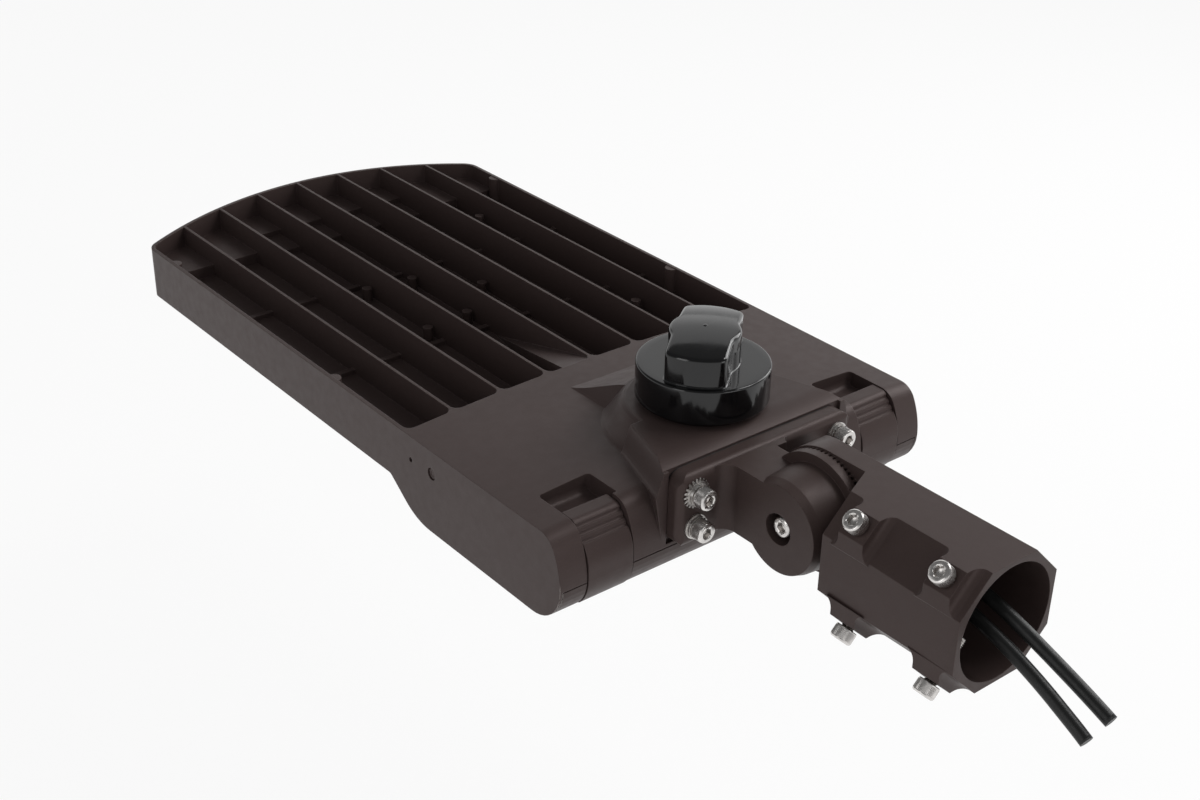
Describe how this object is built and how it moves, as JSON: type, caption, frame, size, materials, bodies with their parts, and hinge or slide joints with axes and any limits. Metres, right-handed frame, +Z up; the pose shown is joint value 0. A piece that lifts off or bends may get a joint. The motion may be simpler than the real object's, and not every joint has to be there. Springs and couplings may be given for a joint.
{
  "type": "shoebox area light",
  "caption": "Finned shoebox area light on a tilting slipfitter, with latched driver door, twist-lock photocell socket and shorting cap.",
  "frame": {"origin": "centre of the slipfitter socket's mouth, on the socket's axis", "axes": "+Y from the socket towards the head, +Z up through the head's finned top, +X across the head"},
  "size_m": [0.2996, 0.8151, 0.1325],
  "materials": {
    "slipfitter_body": "satin dark bronze powder coat",
    "clamp_screws": "bright stainless",
    "knuckle_bolt": "bright stainless",
    "knuckle_washer": "stainless",
    "knuckle_nut": "stainless",
    "cable_grommet": "matte black",
    "supply_cable_left": "matte black jacket",
    "supply_cable_right": "matte black jacket",
    "housing": "satin dark bronze powder coat",
    "mounting_bracket": "satin dark bronze powder coat",
    "bracket_gasket": "matte black",
    "bracket_bolts": "bright stainless",
    "spring_washers": "stainless",
    "flat_washers": "stainless",
    "tooth_lock_washer": "stainless",
    "side_plug_screw": "dark bronze",
    "photocell_receptacle": "matte black",
    "receptacle_contacts": "bare",
    "receptacle_gasket": "matte black",
    "shorting_cap": "gloss black",
    "cap_blades": "bare",
    "cap_gasket": "matte red-brown",
    "door": "satin dark bronze powder coat",
    "door_gasket": "matte black",
    "door_hinge_pins": "stainless",
    "latch_pins": "stainless",
    "latch_left": "satin dark bronze powder coat",
    "latch_right": "satin dark bronze powder coat",
    "light_boards": "white solder mask",
    "light_chips": "yellow phosphor",
    "lens_gaskets": "matte grey",
    "lens_panels": "clear moulded",
    "lens_screws": "stainless",
    "led_driver": "bare case",
    "driver_screws": "zinc plated",
    "surge_protector": "ivory",
    "terminal_block": "ivory",
    "internal_wires": "insulated wires"
  },
  "bodies": {
    "slipfitter": {"slipfitter_body": "slipfitter_body", "clamp_screws": "clamp_screws", "knuckle_bolt": "knuckle_bolt", "knuckle_washer": "knuckle_washer", "knuckle_nut": "knuckle_nut", "cable_grommet": "cable_grommet", "supply_cable_left": "supply_cable_left", "supply_cable_right": "supply_cable_right"},
    "head": {"housing": "housing", "mounting_bracket": "mounting_bracket", "bracket_gasket": "bracket_gasket", "bracket_bolts": "bracket_bolts", "spring_washers": "spring_washers", "flat_washers": "flat_washers", "tooth_lock_washer": "tooth_lock_washer", "side_plug_screw": "side_plug_screw", "photocell_receptacle": "photocell_receptacle", "receptacle_contacts": "receptacle_contacts", "receptacle_gasket": "receptacle_gasket", "door_hinge_pins": "door_hinge_pins", "light_boards": "light_boards", "light_chips": "light_chips", "lens_gaskets": "lens_gaskets", "lens_panels": "lens_panels", "lens_screws": "lens_screws", "led_driver": "led_driver", "driver_screws": "driver_screws", "surge_protector": "surge_protector", "terminal_block": "terminal_block", "internal_wires": "internal_wires"},
    "door": {"door": "door", "door_gasket": "door_gasket", "latch_pins": "latch_pins"},
    "latch_left": {"latch_left": "latch_left"},
    "latch_right": {"latch_right": "latch_right"},
    "cap": {"shorting_cap": "shorting_cap", "cap_blades": "cap_blades", "cap_gasket": "cap_gasket"}
  },
  "joints": [
    {"name": "head_tilt", "type": "hinge", "parent": "slipfitter", "child": "head", "pos_m": [0, 0.139, 0], "axis": [1, 0, 0], "range_deg": [-90, 90]},
    {"name": "door_hinge", "type": "hinge", "parent": "head", "child": "door", "pos_m": [0, 0.32395, -0.047], "axis": [1, 0, 0], "range_deg": [0, 80]},
    {"name": "latch_left_turn", "type": "hinge", "parent": "door", "child": "latch_left", "pos_m": [-0.1128, 0.2026, -0.0392], "axis": [1, 0, 0], "range_deg": [0, 60]},
    {"name": "latch_right_turn", "type": "hinge", "parent": "door", "child": "latch_right", "pos_m": [0.1128, 0.2026, -0.0392], "axis": [1, 0, 0], "range_deg": [0, 60]},
    {"name": "cap_twist", "type": "hinge", "parent": "head", "child": "cap", "pos_m": [0, 0.2445, 0.0555], "axis": [0, 0, 1], "range_deg": [0, 25]}
  ]
}
